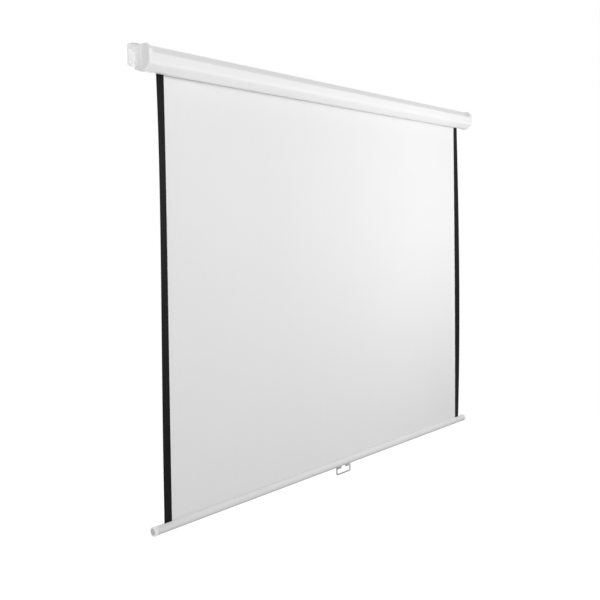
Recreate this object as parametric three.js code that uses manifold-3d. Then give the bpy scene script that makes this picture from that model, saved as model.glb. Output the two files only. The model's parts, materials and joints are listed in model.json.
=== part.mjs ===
// Manual pull-down projector screen, fully pulled down, for a wall or ceiling.
// Millimetres. The exported group has +Z up and +X to the viewer's right, and the sheet faces -Y.
// Its origin is the middle of the case's back face, which lies against the wall.
//
// The pieces are drawn in the screen's section: x is the depth in front of the wall, y the height
// above the case's underside, and z the distance to the left of the middle. One rotation at the end
// turns the section's axes to the part's own.

import * as THREE from "three";
import { mergeVertices } from "three/addons/utils/BufferGeometryUtils.js";
import Module from "manifold-3d";

const wasm = await Module();
wasm.setup();

// Clearances
const GAP = 0.3; // between pieces that touch
const OVERRUN = 5; // how far a cut runs past the piece it cuts

// Sheet
const SHEET_WIDTH = 1600;
const SHEET_DROP = 1228; // case underside to bar, pulled right down
const SHEET_THICK = 0.4;
const SHEET_DEPTH = 19.5; // middle of the sheet in front of the wall
const BORDER_WIDTH = 27;
const BORDER_THICK = 0.3;
const LEFT_CURL = 7.4; // how far the sheet's free edges curl forward
const RIGHT_CURL = 9.5;
const CURL_REACH = 70; // how far in from the edge the curl begins
const LEFT_CURL_SHARE = 0.29; // share of the drop where the curl is deepest
const RIGHT_CURL_SHARE = 0.55;
const CURL_POWER = 2.8;
const SHEET_ROWS = 18;
const CURL_COLUMNS = 6;
const BORDER_COLUMNS = 2;
const LAYERS_LEFT = 2; // layers still on the roller

// Roller
const TUBE_RADIUS = 16;
const TUBE_WALL = 1;
const PLUG_LENGTH = 22;
const FLANGE_THICK = 3;
const IDLE_PIN_RADIUS = 3;
const BUSH_WALL = 2.7;

// Spring and ratchet, at the left end of the roller
const SHAFT_RADIUS = 4.5;
const SHAFT_LENGTH = 380;
const TIP_WIDTH = 7.6;
const TIP_THICK = 3.2;
const ANCHOR_RADIUS = 10;
const ANCHOR_LENGTH = 12;
const SPRING_RADIUS = 7.6; // to the middle of the wire
const SPRING_WIRE_RADIUS = 1;
const SPRING_TURNS = 24;
const SPRING_STEPS = 8; // per turn
const SPRING_SIDES = 5;
const RATCHET_RADIUS = 8.5;
const RATCHET_THICK = 4;
const NOTCH_DEPTH = 2.9;
const PAWL_PIVOT_SIDE = 9; // from the roller's axis to the pawl's pivot, sideways and up
const PAWL_PIVOT_RISE = 11;
const PAWL_NOSE_SIDE = 1.6;
const PAWL_LIFT = 0.4; // between the resting pawl and the wheel
const PAWL_EYE_RADIUS = 2.6;
const PAWL_NOSE_RADIUS = 1;
const PAWL_THICK = 3;
const PAWL_PIN_RADIUS = 1.4;
const PAWL_PIN_HEAD = 0.6; // past the pawl

// Case
const CASE_WALL = 1.2;
const ROLL_FRONT_ROOM = 2.4; // round the sheet when it is all wound up
const ROLL_LOWER_ROOM = 15.4;
const ROLL_UPPER_ROOM = 11.5;
const END_ROOM = 50.5; // case past each edge of the sheet
const CHAMFER_DEPTH = 23.3; // top front edge
const CHAMFER_HEIGHT = 22;
const BEVEL_DEPTH = 23; // lower front edge
const BEVEL_HEIGHT = 17;
const REAR_BEVEL_HEIGHT = 9;
const SLOT_FRONT = 4.5; // slot in front of and behind the sheet
const SLOT_REAR = 7.5;
const CASE_CORNER = 5;
const FRONT_CORNER = 14;
const BACK_CORNER = 2;
const LIP_CORNER = 1.6;
const CORNER_STEPS = 5;

// Screw ports inside the case's back, and the screws that hold cap and bracket to them
const PORT_DEPTH = 9.5;
const PORT_RADIUS = 4;
const PORT_WEB = 2;
const UPPER_PORT_HEIGHT = 55.7;
const LOWER_PORT_HEIGHT = 23.7;
const SCREW_RADIUS = 1.7;
const SCREW_HEAD_RADIUS = 3.9;
const SCREW_HEAD_THICK = 2.4;
const SCREW_LENGTH = 22;
const CROSS_LENGTH = 4.4;
const CROSS_WIDTH = 1;
const CROSS_DEEP = 1.3;

// End caps
const CAP_LIP = 11; // length of the lip round the case
const CAP_WALL = 1.2;
const CAP_PLATE = 3;
const CAP_CHAMFER_DEPTH = 15; // top front edge, fuller than the case's
const CAP_CHAMFER_HEIGHT = 14;
const BOSS_WALL = 4;
const BOSS_LENGTH = 8;
const RATCHET_ROOM = 1; // along the shaft, on both sides of the ratchet wheel

// Fixing brackets
const BRACKET_THICK = 2;
const BRACKET_BEND = 2;
const BRACKET_REACH = 20.5; // past the end flange
const BRACKET_DEPTH = 30;
const BRACKET_HEIGHT = 57;
const BRACKET_CORNER = 4;
const BRACKET_RELIEF = 1; // between the wall flange and the ceiling flange
const FIXING_RADIUS = 2.5; // hole for a wall or ceiling screw
const FIXING_INSET = 11;

// Weight bar
const BAR_RADIUS = 12.5;
const BAR_WALL = 1.5;
const BAR_OVERHANG = 30; // past each edge of the sheet
const GROOVE_WIDTH = 3.2;
const HEM_ROD_RADIUS = 2.4;
const HEM_ROD_INSET = 2;
const KNOB_RADIUS = 13.8;
const KNOB_LENGTH = 10;
const KNOB_EDGE = 2;
const KNOB_SPIGOT = 14;

// Pull handle
const HANDLE_WIDTH = 74; // between the middles of the legs
const HANDLE_LENGTH = 22; // pivot to grip
const WIRE_RADIUS = 2.5;
const WIRE_BEND = 5;
const WIRE_END = 11; // turned in to the lug
const WIRE_SIDES = 8;
const WIRE_STEPS = 76;
const LUG_DROP = 4; // pivot below the bar
const LUG_WALL = 1.5;
const LUG_LENGTH = 19;
const LUG_RISE = 6; // lug above the pivot, on both sides of the bar
const LUG_SCREW_RADIUS = 1.4;
const LUG_SCREW_HEAD_RADIUS = 2.6;
const LUG_SCREW_HEAD_THICK = 1.4;
const LUG_SCREW_INSET = 4;
const LUG_SCREW_REACH = 4; // inside the bar

// Round sections
const LARGE_SIDES = 40;
const SMALL_SIDES = 20;

// Worked out from the sizes above
const CASE_HALF = SHEET_WIDTH / 2 + END_ROOM;
const LAYERS_RADIUS = TUBE_RADIUS + GAP + LAYERS_LEFT * SHEET_THICK;
const ROLLER_DEPTH = SHEET_DEPTH + SHEET_THICK / 2 + GAP + LAYERS_RADIUS;
const ROLLED_RADIUS = Math.sqrt(TUBE_RADIUS ** 2 + (SHEET_DROP * SHEET_THICK) / Math.PI);
const ROLLER_HEIGHT = ROLLED_RADIUS + ROLL_LOWER_ROOM;
const CASE_DEPTH = ROLLER_DEPTH + ROLLED_RADIUS + ROLL_FRONT_ROOM + CASE_WALL;
const CASE_HEIGHT = ROLLER_HEIGHT + ROLLED_RADIUS + ROLL_UPPER_ROOM + CASE_WALL;
const BACK_MIDDLE = (REAR_BEVEL_HEIGHT + CASE_HEIGHT) / 2;
const PLATE_INNER = CASE_HALF + GAP;
const CAP_END = PLATE_INNER + CAP_PLATE;
const CAP_PROUD = GAP + CAP_WALL;
const BOSS_END = PLATE_INNER - BOSS_LENGTH;
const RATCHET_OUTER = BOSS_END - RATCHET_ROOM;
const RATCHET_INNER = RATCHET_OUTER - RATCHET_THICK;
const FLANGE_OUTER = RATCHET_INNER - RATCHET_ROOM;
const TUBE_HALF = FLANGE_OUTER - FLANGE_THICK - GAP;
const PLUG_INNER = TUBE_HALF - PLUG_LENGTH;
const BUSH_RADIUS = IDLE_PIN_RADIUS + GAP + BUSH_WALL;
const BOSS_RADIUS = BUSH_RADIUS + GAP + BOSS_WALL;
const BAR_HEIGHT = -SHEET_DROP - BAR_RADIUS;
const BAR_HALF = SHEET_WIDTH / 2 + BAR_OVERHANG;
const PIVOT_DROP = BAR_RADIUS + LUG_DROP; // handle pivot below the bar's middle
const HEM_ROD_HEIGHT = BAR_RADIUS - BAR_WALL - HEM_ROD_INSET - HEM_ROD_RADIUS;
const HEM_HEIGHT = BAR_HEIGHT + HEM_ROD_HEIGHT + HEM_ROD_RADIUS + GAP; // end of the sheet, on the rod
const BRACKET_TOP = CASE_HEIGHT + CAP_PROUD;

// Colours
const WHITE_PAINT = { color: 0xf0f0ee, roughness: 0.45, metalness: 0 };
const WHITE_PLASTIC = { color: 0xf3f3f1, roughness: 0.5, metalness: 0 };
const MATTE_WHITE = { color: 0xf2f2f2, roughness: 0.95, metalness: 0 };
const MATTE_BLACK = { color: 0x0c0c0d, roughness: 0.9, metalness: 0 };
const STEEL = { color: 0xadaeb0, roughness: 0.35, metalness: 1 };
const ALUMINIUM = { color: 0xb9bbbd, roughness: 0.4, metalness: 1 };
const GREY_NYLON = { color: 0x9a9c9e, roughness: 0.6, metalness: 0 };
const GREY_PLASTIC = { color: 0xbcbcbd, roughness: 0.5, metalness: 0 };

// A geometry as a solid that can be cut and joined.
function solidOf(geometry) {
  const bare = geometry.index ? geometry.toNonIndexed() : geometry.clone();
  bare.deleteAttribute("normal");
  bare.deleteAttribute("uv");
  const merged = mergeVertices(bare);
  return new wasm.Manifold(
    new wasm.Mesh({
      numProp: 3,
      vertProperties: merged.attributes.position.array,
      triVerts: new Uint32Array(merged.index.array),
    }),
  );
}

function geometryOf(solid) {
  const mesh = solid.getMesh();
  const geometry = new THREE.BufferGeometry();
  geometry.setAttribute("position", new THREE.BufferAttribute(mesh.vertProperties, mesh.numProp));
  geometry.setIndex(new THREE.BufferAttribute(mesh.triVerts, 1));
  geometry.computeVertexNormals();
  return geometry;
}

function joined(...geometries) {
  return geometryOf(geometries.map(solidOf).reduce((a, b) => a.add(b)));
}

function cut(geometry, ...tools) {
  return geometryOf(tools.map(solidOf).reduce((a, b) => a.subtract(b), solidOf(geometry)));
}

function piece(name, geometry, look) {
  const mesh = new THREE.Mesh(geometry, new THREE.MeshStandardMaterial(look));
  mesh.name = name;
  return mesh;
}

function group(...children) {
  const made = new THREE.Group();
  made.add(...children);
  return made;
}

// An outline in the section, extruded from z = low to z = high.
function extruded(outline, low, high) {
  const shape = outline instanceof THREE.Shape ? outline : new THREE.Shape(outline);
  const geometry = new THREE.ExtrudeGeometry(shape, {
    depth: high - low,
    bevelEnabled: false,
    curveSegments: SMALL_SIDES,
  });
  return geometry.translate(0, 0, low);
}

// A box between two corners.
function block(low, high) {
  const size = high.map((value, i) => value - low[i]);
  const middle = high.map((value, i) => (value + low[i]) / 2);
  return new THREE.BoxGeometry(...size).translate(...middle);
}

// A profile of [radius, z] points turned about the z axis.
function turned(profile, sides) {
  const points = profile.map(([radius, along]) => new THREE.Vector2(radius, along));
  return new THREE.LatheGeometry(points, sides).rotateX(Math.PI / 2);
}

function rod(radius, low, high, sides) {
  const profile = [[0, low], [radius, low], [radius, high], [0, high]];
  return turned(profile, sides);
}

function tube(inner, outer, low, high, sides) {
  const profile = [[inner, low], [outer, low], [outer, high], [inner, high], [inner, low]];
  return turned(profile, sides);
}

// Points on an arc, from one angle to the other.
function arc(x, y, radius, from, to, steps) {
  return Array.from({ length: steps + 1 }, (_, i) => {
    const angle = from + ((to - from) * i) / steps;
    return new THREE.Vector2(x + radius * Math.cos(angle), y + radius * Math.sin(angle));
  });
}

// A corner [x, y, radius] between its neighbours, as points on its round.
function roundedCorner(before, corner, after) {
  const [x, y, radius] = corner;
  const middle = new THREE.Vector2(x, y);
  const back = new THREE.Vector2(before[0] - x, before[1] - y).normalize();
  const ahead = new THREE.Vector2(after[0] - x, after[1] - y).normalize();
  const half = Math.acos(back.dot(ahead)) / 2;
  const centre = back.clone().add(ahead).normalize().multiplyScalar(radius / Math.sin(half)).add(middle);
  const start = back.multiplyScalar(radius / Math.tan(half)).add(middle).sub(centre);
  const end = ahead.multiplyScalar(radius / Math.tan(half)).add(middle).sub(centre);
  const from = start.angle();
  const turn = Math.atan2(start.cross(end), start.dot(end));
  return arc(centre.x, centre.y, radius, from, from + turn, CORNER_STEPS);
}

// A closed outline, or an open path that keeps its two ends.
function rounded(corners, closed) {
  const count = corners.length;
  return corners.flatMap((corner, i) => {
    const end = !closed && (i === 0 || i === count - 1);
    if (end || !corner[2]) return [new THREE.Vector2(corner[0], corner[1])];
    return roundedCorner(corners[(i + count - 1) % count], corner, corners[(i + 1) % count]);
  });
}

// The same path moved to the right of its direction by a distance.
function offset(path, distance, closed) {
  const count = path.length;
  const sideOf = (a, b) => new THREE.Vector2(b.y - a.y, a.x - b.x).normalize();
  return path.map((point, i) => {
    const before = path[(i + count - 1) % count];
    const after = path[(i + 1) % count];
    const first = closed || i > 0 ? sideOf(before, point) : sideOf(point, after);
    const second = closed || i < count - 1 ? sideOf(point, after) : first;
    const side = first.clone().add(second).normalize();
    return point.clone().addScaledVector(side, distance / side.dot(first));
  });
}

// A path given a wall on the left of its direction.
function walled(path, wall) {
  return [...path, ...offset(path, -wall, false).reverse()];
}

const SLOT_EDGE = SHEET_DEPTH + SLOT_FRONT;
const SLOT_BACK = SHEET_DEPTH - SLOT_REAR;

// Corners of the case's or a cap's section, counter-clockwise from the front of the slot.
function sectionCorners(chamferDepth, chamferHeight) {
  return [
    [SLOT_EDGE, 0, LIP_CORNER],
    [CASE_DEPTH - BEVEL_DEPTH, 0, CASE_CORNER],
    [CASE_DEPTH, BEVEL_HEIGHT, FRONT_CORNER],
    [CASE_DEPTH, CASE_HEIGHT - chamferHeight, CASE_CORNER],
    [CASE_DEPTH - chamferDepth, CASE_HEIGHT, CASE_CORNER],
    [0, CASE_HEIGHT, BACK_CORNER],
    [0, REAR_BEVEL_HEIGHT, BACK_CORNER],
  ];
}

const CASE_CORNERS = sectionCorners(CHAMFER_DEPTH, CHAMFER_HEIGHT);
const CAP_CORNERS = sectionCorners(CAP_CHAMFER_DEPTH, CAP_CHAMFER_HEIGHT);

// The ring that a screw threads into, open towards the front, on a web from the case's back.
function screwPort(height) {
  const ring = tube(SCREW_RADIUS + GAP, PORT_RADIUS, -CASE_HALF, CASE_HALF, SMALL_SIDES);
  ring.translate(PORT_DEPTH, height, 0);
  const webEnd = PORT_DEPTH - (SCREW_RADIUS + GAP + PORT_RADIUS) / 2;
  const low = [CASE_WALL / 2, height - PORT_WEB / 2, -CASE_HALF];
  const web = block(low, [webEnd, height + PORT_WEB / 2, CASE_HALF]);
  const mouthLow = [PORT_DEPTH, height - SCREW_RADIUS / 2, -CASE_HALF - OVERRUN];
  const mouthHigh = [PORT_DEPTH + PORT_RADIUS + OVERRUN, height + SCREW_RADIUS / 2, CASE_HALF + OVERRUN];
  return cut(joined(ring, web), block(mouthLow, mouthHigh));
}

// The case: a folded profile, open at the slot where the sheet comes out.
function makeCase() {
  const slotBackHeight = (REAR_BEVEL_HEIGHT * (SLOT_EDGE - SLOT_BACK)) / SLOT_EDGE;
  const path = rounded([...CASE_CORNERS, [SLOT_BACK, slotBackHeight]], false);
  const shell = extruded(walled(path, CASE_WALL), -CASE_HALF, CASE_HALF);
  const ports = [UPPER_PORT_HEIGHT, LOWER_PORT_HEIGHT].map(screwPort);
  return piece("case_profile", joined(shell, ...ports), WHITE_PAINT);
}

// A round hole through everything from z = low to z = high, at a depth and height.
function drill(depth, height, radius, low, high) {
  return rod(radius, low, high, SMALL_SIDES).translate(depth, height, 0);
}

// The two holes that the bracket's screws pass through.
function screwHoles(low, high) {
  return [UPPER_PORT_HEIGHT, LOWER_PORT_HEIGHT].map((height) =>
    drill(PORT_DEPTH, height, SCREW_RADIUS + GAP, low, high),
  );
}

// An end cap: a plate with a lip round the case's top, front and underside, and a socket inside.
function makeCap(name, socket) {
  const lipEnd = CAP_END - CAP_LIP;
  const body = extruded(offset(rounded(CAP_CORNERS, true), CAP_PROUD, true), lipEnd, CAP_END);
  const room = offset(rounded(CASE_CORNERS, true), GAP, true);
  const hollow = extruded(room, lipEnd - OVERRUN, PLATE_INNER);
  const back = block(
    [-CAP_PROUD - OVERRUN, -CAP_PROUD - OVERRUN, lipEnd - OVERRUN],
    [0, CASE_HEIGHT + CAP_PROUD + OVERRUN, CAP_END + OVERRUN],
  );
  const backLip = block(
    [-OVERRUN, REAR_BEVEL_HEIGHT, lipEnd - OVERRUN],
    [BACK_CORNER, CASE_HEIGHT, PLATE_INNER],
  );
  const boss = rod(BOSS_RADIUS, BOSS_END, PLATE_INNER + GAP, LARGE_SIDES);
  boss.translate(ROLLER_DEPTH, ROLLER_HEIGHT, 0);
  const shell = cut(body, hollow, back, backLip);
  const holes = screwHoles(lipEnd, CAP_END + OVERRUN);
  socket.translate(ROLLER_DEPTH, ROLLER_HEIGHT, 0);
  return piece(name, cut(joined(shell, boss), socket, ...holes), WHITE_PLASTIC);
}

// The flat socket that keeps the spring shaft from turning.
function flatSocket() {
  const wide = TIP_WIDTH / 2 + GAP;
  const thick = TIP_THICK / 2 + GAP;
  return block([-thick, -wide, BOSS_END - OVERRUN], [thick, wide, PLATE_INNER]);
}

function roundSocket() {
  return rod(BUSH_RADIUS + GAP, BOSS_END - OVERRUN, PLATE_INNER, SMALL_SIDES);
}

// Two legs of sheet metal at a right angle, with a rounded bend at the origin's corner.
function bentOutline(first, second) {
  const outer = BRACKET_BEND + BRACKET_THICK;
  return rounded(
    [
      [0, 0, outer],
      [first, 0],
      [first, BRACKET_THICK],
      [BRACKET_THICK, BRACKET_THICK, BRACKET_BEND],
      [BRACKET_THICK, second],
      [0, second],
    ],
    true,
  );
}

// What a sheet metal wing loses at its outer corner, round the corner's centre.
function cornerTool() {
  const far = BRACKET_CORNER + OVERRUN;
  const quarter = block([0, 0, -OVERRUN], [far, far, OVERRUN]);
  return cut(quarter, rod(BRACKET_CORNER, -far, far, SMALL_SIDES));
}

// The matrix that turns x, y and z to three given directions.
function basis(x, y, z) {
  return new THREE.Matrix4().makeBasis(
    new THREE.Vector3(...x),
    new THREE.Vector3(...y),
    new THREE.Vector3(...z),
  );
}

// A fixing bracket: one flange on the cap's end, one against the wall and one under the ceiling.
function makeBracket(name) {
  const low = BRACKET_TOP - BRACKET_HEIGHT;
  const near = CAP_END + GAP;
  const far = near + BRACKET_THICK + BRACKET_REACH;
  const bend = BRACKET_BEND + BRACKET_THICK;
  const outline = rounded(
    [
      [bend, low],
      [BRACKET_DEPTH, low, BRACKET_CORNER],
      [BRACKET_DEPTH, BRACKET_TOP - bend],
      [bend, BRACKET_TOP - bend],
    ],
    true,
  );
  const end = extruded(outline, near, near + BRACKET_THICK);
  const upright = basis([0, 0, 1], [1, 0, 0], [0, 1, 0]); // x along, y to the front, z up
  const level = basis([0, 0, 1], [0, -1, 0], [1, 0, 0]); // x along, y down, z to the front
  const wallHeight = BRACKET_HEIGHT - BRACKET_THICK - BRACKET_RELIEF;
  const wall = extruded(bentOutline(far - near, BRACKET_DEPTH / 2), 0, wallHeight);
  wall.applyMatrix4(upright).translate(0, low, near);
  const ceiling = extruded(bentOutline(far - near, BRACKET_HEIGHT / 2), 0, BRACKET_DEPTH);
  ceiling.applyMatrix4(level).translate(0, BRACKET_TOP, near);
  const middle = far - BRACKET_REACH / 2;
  const cornerAlong = far - BRACKET_CORNER;
  const hole = () => rod(FIXING_RADIUS, -OVERRUN, OVERRUN, SMALL_SIDES);
  const tools = [
    cornerTool().applyMatrix4(level).translate(0, low + BRACKET_CORNER, cornerAlong),
    cornerTool().applyMatrix4(upright).translate(BRACKET_DEPTH - BRACKET_CORNER, BRACKET_TOP, cornerAlong),
    hole().rotateY(Math.PI / 2).translate(0, low + FIXING_INSET, middle),
    hole().rotateY(Math.PI / 2).translate(0, low + wallHeight - FIXING_INSET, middle),
    hole().rotateX(Math.PI / 2).translate((BRACKET_DEPTH + bend) / 2, BRACKET_TOP, middle),
    ...screwHoles(near - OVERRUN, near + BRACKET_THICK + OVERRUN),
  ];
  return piece(name, cut(joined(end, wall, ceiling), ...tools), WHITE_PAINT);
}

// A screw that points along -z from the face its head sits on, with a cross recess.
function makeScrew(name, shank, length, head, thick, look) {
  const edge = thick / 2;
  const profile = [
    [0, -length],
    [shank, -length],
    [shank, 0],
    [head, 0],
    [head, edge],
    [head - edge, thick],
    [0, thick],
  ];
  const blank = turned(profile, SMALL_SIDES);
  const share = head / SCREW_HEAD_RADIUS;
  const long = (CROSS_LENGTH * share) / 2;
  const wide = (CROSS_WIDTH * share) / 2;
  const floor = thick - CROSS_DEEP * share;
  const bars = [
    block([-long, -wide, floor], [long, wide, thick + OVERRUN]),
    block([-wide, -long, floor], [wide, long, thick + OVERRUN]),
  ];
  return piece(name, cut(blank, ...bars), look);
}

// The pieces fixed to one end of the case. The right end is the left one mirrored.
function makeEnd(side, socket) {
  const screws = [
    ["upper", UPPER_PORT_HEIGHT],
    ["lower", LOWER_PORT_HEIGHT],
  ].map(([place, height]) => {
    const screw = makeScrew(`bracket_screw_${side}_${place}`, SCREW_RADIUS, SCREW_LENGTH,
      SCREW_HEAD_RADIUS, SCREW_HEAD_THICK, WHITE_PAINT);
    screw.position.set(PORT_DEPTH, height, CAP_END + GAP + BRACKET_THICK + GAP);
    return screw;
  });
  return group(makeCap(`end_cap_${side}`, socket), makeBracket(`bracket_${side}`), ...screws);
}

// The spring shaft: a flat tip held by the cap, and a round rod through the roller's plug.
function makeShaft() {
  const shoulder = RATCHET_INNER - GAP;
  const tip = block(
    [-TIP_THICK / 2, -TIP_WIDTH / 2, shoulder - GAP],
    [TIP_THICK / 2, TIP_WIDTH / 2, CASE_HALF],
  );
  const round = rod(SHAFT_RADIUS, shoulder - SHAFT_LENGTH, shoulder, SMALL_SIDES);
  return piece("spring_shaft", joined(tip, round), STEEL);
}

// The collar at the shaft's inner end that the spring is hooked to.
function makeAnchor() {
  const inner = RATCHET_INNER - GAP - SHAFT_LENGTH;
  const collar = tube(SHAFT_RADIUS + GAP, ANCHOR_RADIUS, inner, inner + ANCHOR_LENGTH, SMALL_SIDES);
  return piece("spring_anchor", collar, STEEL);
}

class Helix extends THREE.Curve {
  constructor(radius, low, high, turns) {
    super();
    Object.assign(this, { radius, low, high, turns });
  }

  getPoint(t, target = new THREE.Vector3()) {
    const angle = t * this.turns * Math.PI * 2;
    const along = this.low + (this.high - this.low) * t;
    return target.set(this.radius * Math.cos(angle), this.radius * Math.sin(angle), along);
  }
}

// A round wire along a curve.
function wire(curve, radius, sides, steps) {
  const section = new THREE.Shape(arc(0, 0, radius, 0, Math.PI * 2, sides).slice(0, sides));
  return new THREE.ExtrudeGeometry(section, { extrudePath: curve, steps, bevelEnabled: false });
}

function makeSpring() {
  const anchorTop = RATCHET_INNER - GAP - SHAFT_LENGTH + ANCHOR_LENGTH;
  const low = anchorTop + SPRING_WIRE_RADIUS + GAP;
  const high = PLUG_INNER - SPRING_WIRE_RADIUS - GAP;
  const curve = new Helix(SPRING_RADIUS, low, high, SPRING_TURNS);
  const coil = wire(curve, SPRING_WIRE_RADIUS, SPRING_SIDES, SPRING_TURNS * SPRING_STEPS);
  return piece("roller_spring", coil, STEEL);
}

// The ratchet wheel's notch: a steep face that stops the pawl, and a ramp that lifts it out.
function notch() {
  const floor = RATCHET_RADIUS - NOTCH_DEPTH;
  const face = PAWL_NOSE_SIDE + PAWL_NOSE_RADIUS + GAP;
  const outline = [
    [face, RATCHET_RADIUS + OVERRUN],
    [-PAWL_PIVOT_SIDE, RATCHET_RADIUS + OVERRUN],
    [-PAWL_PIVOT_SIDE, RATCHET_RADIUS - GAP],
    [0, floor],
    [face, floor],
  ].map(([x, y]) => new THREE.Vector2(x, y));
  return extruded(outline, RATCHET_INNER - OVERRUN, RATCHET_OUTER + OVERRUN);
}

function makeRatchet() {
  const disc = rod(RATCHET_RADIUS, RATCHET_INNER, RATCHET_OUTER, LARGE_SIDES);
  const wide = TIP_WIDTH / 2 + GAP;
  const thick = TIP_THICK / 2 + GAP;
  const hole = block([-thick, -wide, RATCHET_INNER - OVERRUN], [thick, wide, RATCHET_OUTER + OVERRUN]);
  return piece("ratchet_wheel", cut(disc, hole, notch(), notch().rotateZ(Math.PI)), STEEL);
}

// A pawl, drawn round its pivot with its nose to the front.
function pawlGeometry() {
  const reach = PAWL_PIVOT_SIDE + PAWL_NOSE_SIDE;
  const noseRadius = RATCHET_RADIUS + PAWL_LIFT + PAWL_NOSE_RADIUS;
  const noseHeight = Math.sqrt(noseRadius ** 2 - PAWL_NOSE_SIDE ** 2);
  const fall = noseHeight - PAWL_PIVOT_RISE;
  const lean = Math.atan2(fall, reach);
  const half = Math.PI / 2;
  const outline = [
    ...arc(reach, fall, PAWL_NOSE_RADIUS, lean - half, lean + half, SMALL_SIDES / 2),
    ...arc(0, 0, PAWL_EYE_RADIUS, lean + half, lean + 3 * half, SMALL_SIDES / 2),
  ];
  const middle = (RATCHET_INNER + RATCHET_OUTER) / 2;
  const blank = extruded(outline, middle - PAWL_THICK / 2, middle + PAWL_THICK / 2);
  const eye = rod(PAWL_PIN_RADIUS + GAP, RATCHET_INNER - OVERRUN, RATCHET_OUTER + OVERRUN, SMALL_SIDES);
  return cut(blank, eye);
}

// The pin of a pawl, pressed into the plug's flange.
function pinGeometry() {
  const outer = (RATCHET_INNER + RATCHET_OUTER + PAWL_THICK) / 2 + PAWL_PIN_HEAD;
  return rod(PAWL_PIN_RADIUS, FLANGE_OUTER - FLANGE_THICK, outer, SMALL_SIDES);
}

// Two pawls on opposite sides of the shaft, each with its pin.
function makePawls() {
  return ["upper", "lower"].map((place, i) => {
    const pawl = piece(`pawl_${place}`, pawlGeometry(), STEEL);
    const pin = piece(`pawl_pin_${place}`, pinGeometry(), STEEL);
    const pair = group(pawl, pin);
    pair.position.set(-PAWL_PIVOT_SIDE, PAWL_PIVOT_RISE, 0);
    const turnedPair = group(pair);
    turnedPair.rotation.z = i * Math.PI;
    return turnedPair;
  });
}

// A plug in the tube's end: a flange as wide as the tube, and a sleeve inside it.
function plug(bore) {
  const sleeve = TUBE_RADIUS - TUBE_WALL - GAP;
  const shoulder = FLANGE_OUTER - FLANGE_THICK;
  const profile = [
    [bore, PLUG_INNER],
    [sleeve, PLUG_INNER],
    [sleeve, shoulder],
    [TUBE_RADIUS, shoulder],
    [TUBE_RADIUS, FLANGE_OUTER],
    [bore, FLANGE_OUTER],
    [bore, PLUG_INNER],
  ];
  return turned(profile, LARGE_SIDES);
}

function makeSpringPlug() {
  const holes = [0, Math.PI].map((angle) =>
    drill(-PAWL_PIVOT_SIDE, PAWL_PIVOT_RISE, PAWL_PIN_RADIUS + GAP, FLANGE_OUTER - FLANGE_THICK - GAP,
      FLANGE_OUTER + OVERRUN).rotateZ(angle),
  );
  return piece("roller_plug_spring", cut(plug(SHAFT_RADIUS + GAP), ...holes), GREY_NYLON);
}

// The right end of the roller: a plain plug, and a pin that runs in a bush in the cap.
function makeIdleEnd() {
  const end = piece("roller_plug_idle", plug(IDLE_PIN_RADIUS + GAP), GREY_NYLON);
  const pin = piece("idle_pin", rod(IDLE_PIN_RADIUS, PLUG_INNER, PLATE_INNER - GAP, SMALL_SIDES), STEEL);
  const sleeve = tube(IDLE_PIN_RADIUS + GAP, BUSH_RADIUS, BOSS_END, PLATE_INNER - GAP, SMALL_SIDES);
  const idle = group(end, pin, piece("idle_bush", sleeve, GREY_NYLON));
  idle.scale.z = -1;
  return idle;
}

// Everything that turns on the roller's axis or holds it there.
function makeRoller() {
  const half = SHEET_WIDTH / 2;
  const pipe = tube(TUBE_RADIUS - TUBE_WALL, TUBE_RADIUS, -TUBE_HALF, TUBE_HALF, LARGE_SIDES);
  const layers = tube(TUBE_RADIUS + GAP, LAYERS_RADIUS, -half, half, LARGE_SIDES);
  const roller = group(
    piece("roller_tube", pipe, ALUMINIUM),
    piece("sheet_on_roller", layers, MATTE_BLACK),
    makeSpringPlug(),
    makeIdleEnd(),
    makeShaft(),
    makeAnchor(),
    makeSpring(),
    makeRatchet(),
    ...makePawls(),
  );
  roller.position.set(ROLLER_DEPTH, ROLLER_HEIGHT, 0);
  return roller;
}

// Evenly spaced values from one to another.
function spaced(from, to, parts) {
  return Array.from({ length: parts + 1 }, (_, i) => from + ((to - from) * i) / parts);
}

// How far the sheet curls forward at a place, from its edges and its height.
function curl(along, height) {
  const drop = (ROLLER_HEIGHT - height) / (ROLLER_HEIGHT - HEM_HEIGHT);
  const left = along > 0;
  const peak = left ? LEFT_CURL_SHARE : RIGHT_CURL_SHARE;
  const rise = Math.max(1, peak / (1 - peak));
  const fall = Math.max(1, (1 - peak) / peak);
  const swell = (drop / peak) ** rise * ((1 - drop) / (1 - peak)) ** fall;
  const inward = Math.min(1, (SHEET_WIDTH / 2 - Math.abs(along)) / CURL_REACH);
  return (left ? LEFT_CURL : RIGHT_CURL) * swell * (1 - inward) ** CURL_POWER;
}

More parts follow.
